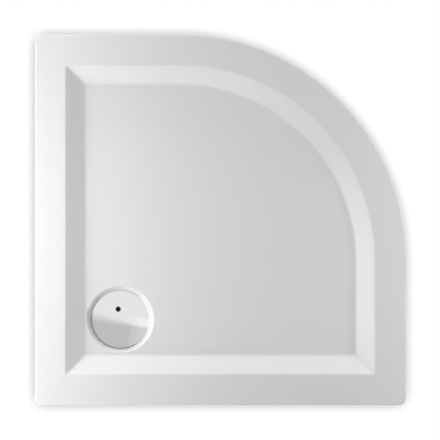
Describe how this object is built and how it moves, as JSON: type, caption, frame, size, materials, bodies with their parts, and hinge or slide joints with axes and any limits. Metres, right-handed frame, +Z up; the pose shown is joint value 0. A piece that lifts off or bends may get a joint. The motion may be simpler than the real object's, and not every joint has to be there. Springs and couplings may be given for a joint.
{
  "type": "quadrant shower tray",
  "caption": "Quadrant shower tray with a flat rim, a sloping basin and a corner waste under a domed cover, on screw legs.",
  "frame": {"origin": "on the floor under the middle of the square that the tray fills", "axes": "+Z up; the curved side faces +X +Y; the two wall sides are at -X and -Y"},
  "size_m": [0.9, 0.9, 0.15],
  "materials": {
    "acrylic": "gloss formed sheet",
    "glass_resin": "chopped glass strand in resin",
    "chipboard": "raw chipboard",
    "timber": "sawn softwood",
    "zinc_steel": "zinc plated",
    "nylon": "moulded",
    "rubber": "moulded",
    "trap_plastic": "moulded",
    "insert_plastic": "moulded",
    "chrome": "polished plate"
  },
  "bodies": {
    "tray": {"tray_shell": "acrylic", "resin_backing": "glass_resin", "base_board": "chipboard", "leg_screws": "zinc_steel", "flange_gasket": "rubber", "clamp_flange": "trap_plastic", "body_gasket": "rubber", "trap_body": "trap_plastic", "outlet_seal": "rubber", "plate_corner": "zinc_steel", "plate_left": "zinc_steel", "plate_right": "zinc_steel", "plate_curve": "zinc_steel", "plate_middle": "zinc_steel", "block_corner": "timber", "block_left": "timber", "block_right": "timber", "block_curve": "timber"},
    "foot_corner": {"foot_corner": "nylon", "pad_corner": "rubber"},
    "stud_corner": {"stud_corner": "zinc_steel"},
    "lock_nut_corner": {"lock_nut_corner": "zinc_steel"},
    "foot_left": {"foot_left": "nylon", "pad_left": "rubber"},
    "stud_left": {"stud_left": "zinc_steel"},
    "lock_nut_left": {"lock_nut_left": "zinc_steel"},
    "foot_right": {"foot_right": "nylon", "pad_right": "rubber"},
    "stud_right": {"stud_right": "zinc_steel"},
    "lock_nut_right": {"lock_nut_right": "zinc_steel"},
    "foot_curve": {"foot_curve": "nylon", "pad_curve": "rubber"},
    "stud_curve": {"stud_curve": "zinc_steel"},
    "lock_nut_curve": {"lock_nut_curve": "zinc_steel"},
    "foot_middle": {"foot_middle": "nylon", "pad_middle": "rubber"},
    "stud_middle": {"stud_middle": "zinc_steel"},
    "lock_nut_middle": {"lock_nut_middle": "zinc_steel"},
    "dip_insert": {"dip_tube": "insert_plastic", "dip_tube_oring": "rubber"},
    "hair_strainer": {"hair_strainer": "insert_plastic"},
    "waste_cover": {"waste_cover": "chrome"},
    "outlet_nut": {"outlet_nut": "trap_plastic"}
  },
  "joints": [
    {"name": "leg_corner_height", "type": "slide", "parent": "tray", "child": "foot_corner", "axis": [0, 0, -1], "range_m": [-0.008, 0.015]},
    {"name": "leg_corner_turn", "type": "hinge", "parent": "foot_corner", "child": "stud_corner", "pos_m": [-0.411, -0.411, 0.027], "axis": [0, 0, -1], "range_deg": [-1646, 3086]},
    {"name": "lock_nut_corner_turn", "type": "hinge", "parent": "tray", "child": "lock_nut_corner", "pos_m": [-0.411, -0.411, 0.108], "axis": [0, 0, -1], "range_deg": [0, 180]},
    {"name": "leg_left_height", "type": "slide", "parent": "tray", "child": "foot_left", "axis": [0, 0, -1], "range_m": [-0.008, 0.015]},
    {"name": "leg_left_turn", "type": "hinge", "parent": "foot_left", "child": "stud_left", "pos_m": [-0.411, 0.411, 0.027], "axis": [0, 0, -1], "range_deg": [-1646, 3086]},
    {"name": "lock_nut_left_turn", "type": "hinge", "parent": "tray", "child": "lock_nut_left", "pos_m": [-0.411, 0.411, 0.108], "axis": [0, 0, -1], "range_deg": [0, 180]},
    {"name": "leg_right_height", "type": "slide", "parent": "tray", "child": "foot_right", "axis": [0, 0, -1], "range_m": [-0.008, 0.015]},
    {"name": "leg_right_turn", "type": "hinge", "parent": "foot_right", "child": "stud_right", "pos_m": [0.411, -0.411, 0.027], "axis": [0, 0, -1], "range_deg": [-1646, 3086]},
    {"name": "lock_nut_right_turn", "type": "hinge", "parent": "tray", "child": "lock_nut_right", "pos_m": [0.411, -0.411, 0.108], "axis": [0, 0, -1], "range_deg": [0, 180]},
    {"name": "leg_curve_height", "type": "slide", "parent": "tray", "child": "foot_curve", "axis": [0, 0, -1], "range_m": [-0.008, 0.015]},
    {"name": "leg_curve_turn", "type": "hinge", "parent": "foot_curve", "child": "stud_curve", "pos_m": [0.26133, 0.26133, 0.027], "axis": [0, 0, -1], "range_deg": [-1646, 3086]},
    {"name": "lock_nut_curve_turn", "type": "hinge", "parent": "tray", "child": "lock_nut_curve", "pos_m": [0.26133, 0.26133, 0.108], "axis": [0, 0, -1], "range_deg": [0, 180]},
    {"name": "leg_middle_height", "type": "slide", "parent": "tray", "child": "foot_middle", "axis": [0, 0, -1], "range_m": [-0.008, 0.015]},
    {"name": "leg_middle_turn", "type": "hinge", "parent": "foot_middle", "child": "stud_middle", "pos_m": [0, 0, 0.027], "axis": [0, 0, -1], "range_deg": [-1646, 3086]},
    {"name": "lock_nut_middle_turn", "type": "hinge", "parent": "tray", "child": "lock_nut_middle", "pos_m": [0, 0, 0.0779], "axis": [0, 0, -1], "range_deg": [0, 180]},
    {"name": "dip_tube_lift", "type": "slide", "parent": "tray", "child": "dip_insert", "axis": [0, 0, 1], "range_m": [0, 0.12]},
    {"name": "strainer_lift", "type": "slide", "parent": "dip_insert", "child": "hair_strainer", "axis": [0, 0, 1], "range_m": [0, 0.08]},
    {"name": "cover_lift", "type": "slide", "parent": "hair_strainer", "child": "waste_cover", "axis": [0, 0, 1], "range_m": [0, 0.08]},
    {"name": "outlet_nut_turn", "type": "hinge", "parent": "tray", "child": "outlet_nut", "pos_m": [-0.243, -0.335, 0.066], "axis": [0, -1, 0], "range_deg": [0, 180]}
  ],
  "couplings": [
    {"joint": "leg_corner_turn", "follows": "leg_corner_height", "rad_per_m": 3590.4},
    {"joint": "leg_left_turn", "follows": "leg_left_height", "rad_per_m": 3590.4},
    {"joint": "leg_right_turn", "follows": "leg_right_height", "rad_per_m": 3590.4},
    {"joint": "leg_curve_turn", "follows": "leg_curve_height", "rad_per_m": 3590.4},
    {"joint": "leg_middle_turn", "follows": "leg_middle_height", "rad_per_m": 3590.4}
  ]
}
